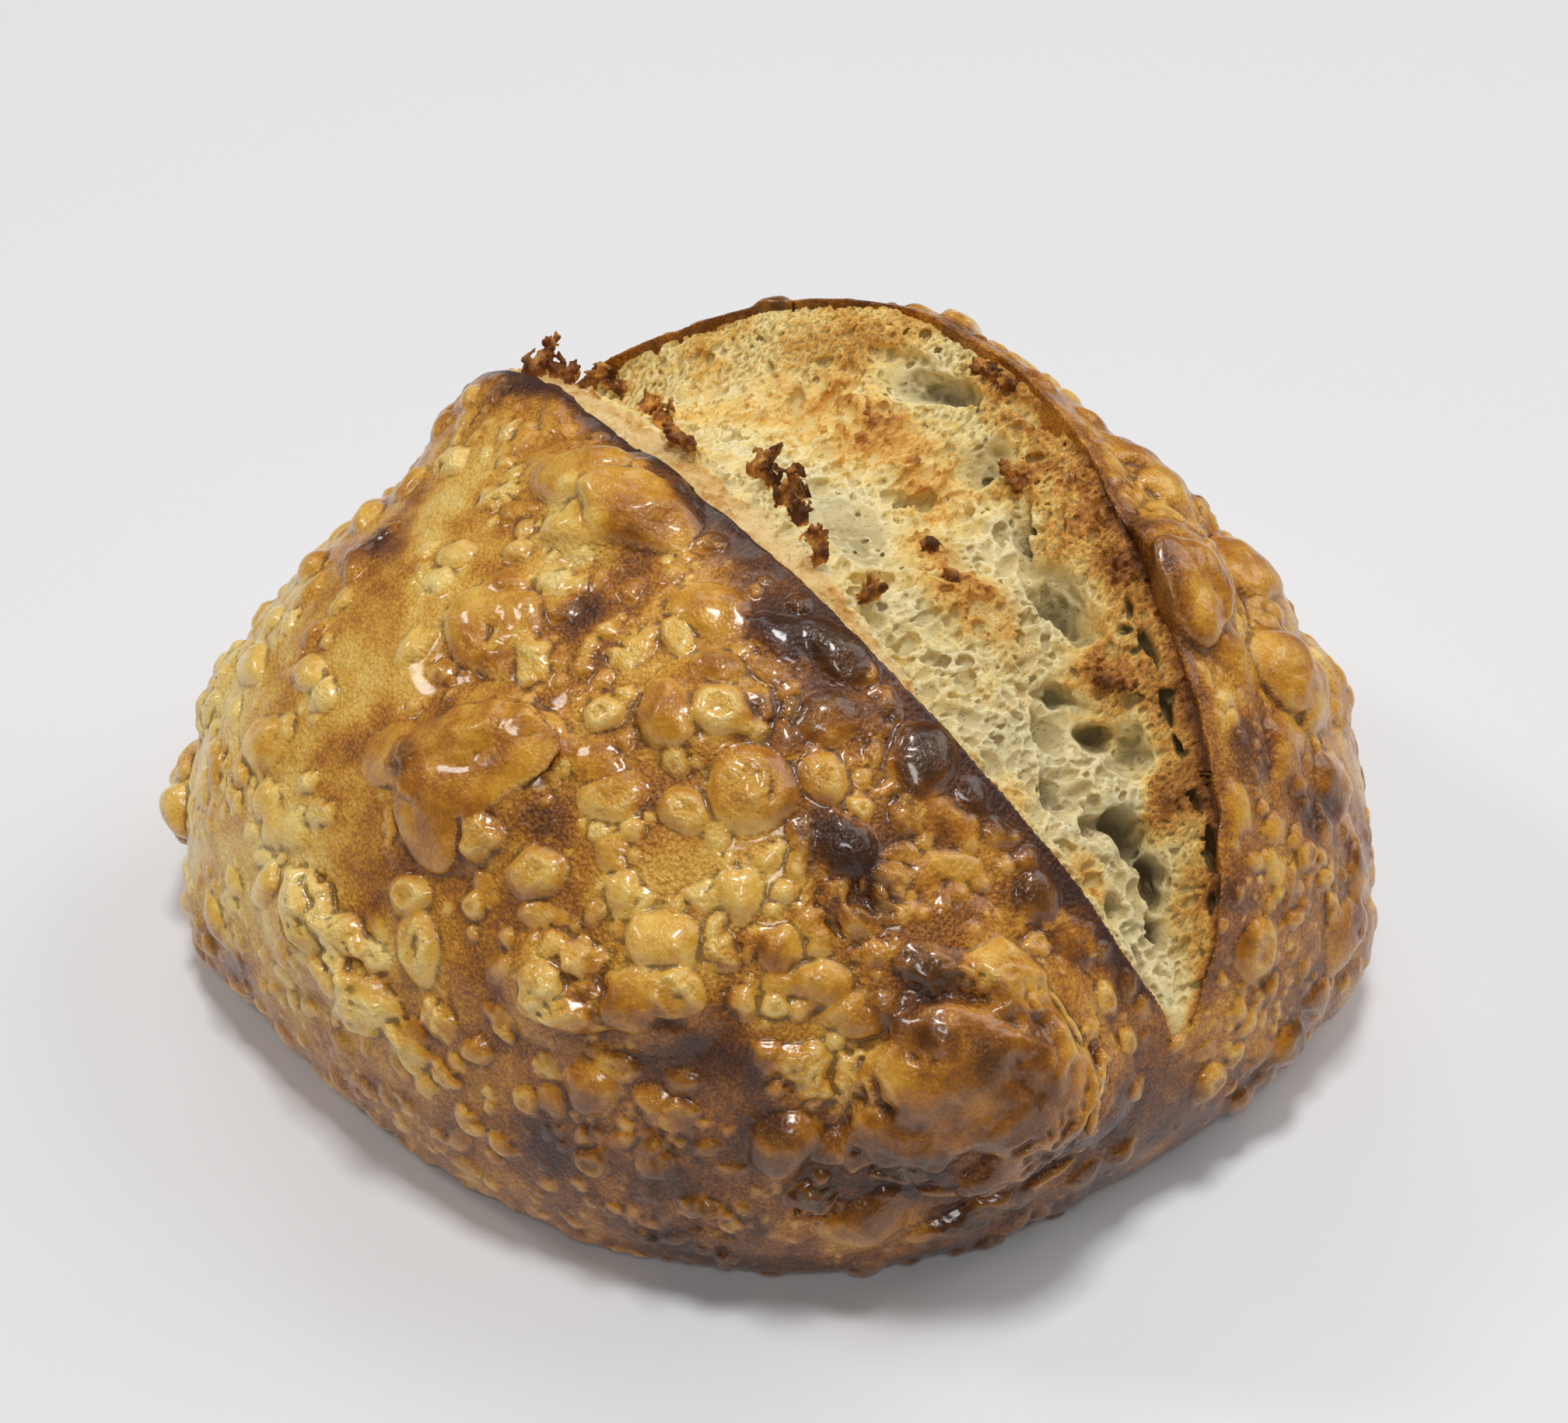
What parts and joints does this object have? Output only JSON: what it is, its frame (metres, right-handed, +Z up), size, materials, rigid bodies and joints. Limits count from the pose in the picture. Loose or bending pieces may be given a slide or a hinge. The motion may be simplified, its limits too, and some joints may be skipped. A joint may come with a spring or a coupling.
{
  "type": "sourdough loaf",
  "caption": "Round crusty loaf standing on its flat base, with a domed blistered crust and one long open score that lifts into an ear.",
  "frame": {"origin": "middle of the flat base, on the surface the loaf stands on", "axes": "+Z up; +X along the score towards its low front end; -Y towards the slab that lifts into the ear"},
  "size_m": [0.1956, 0.1984, 0.102],
  "materials": {
    "crust": "baked golden brown crust, glossy on the blisters",
    "crumb": "matte torn crumb, toasted on its ridges"
  },
  "bodies": {
    "root": {"loaf": "crust"}
  },
  "joints": []
}
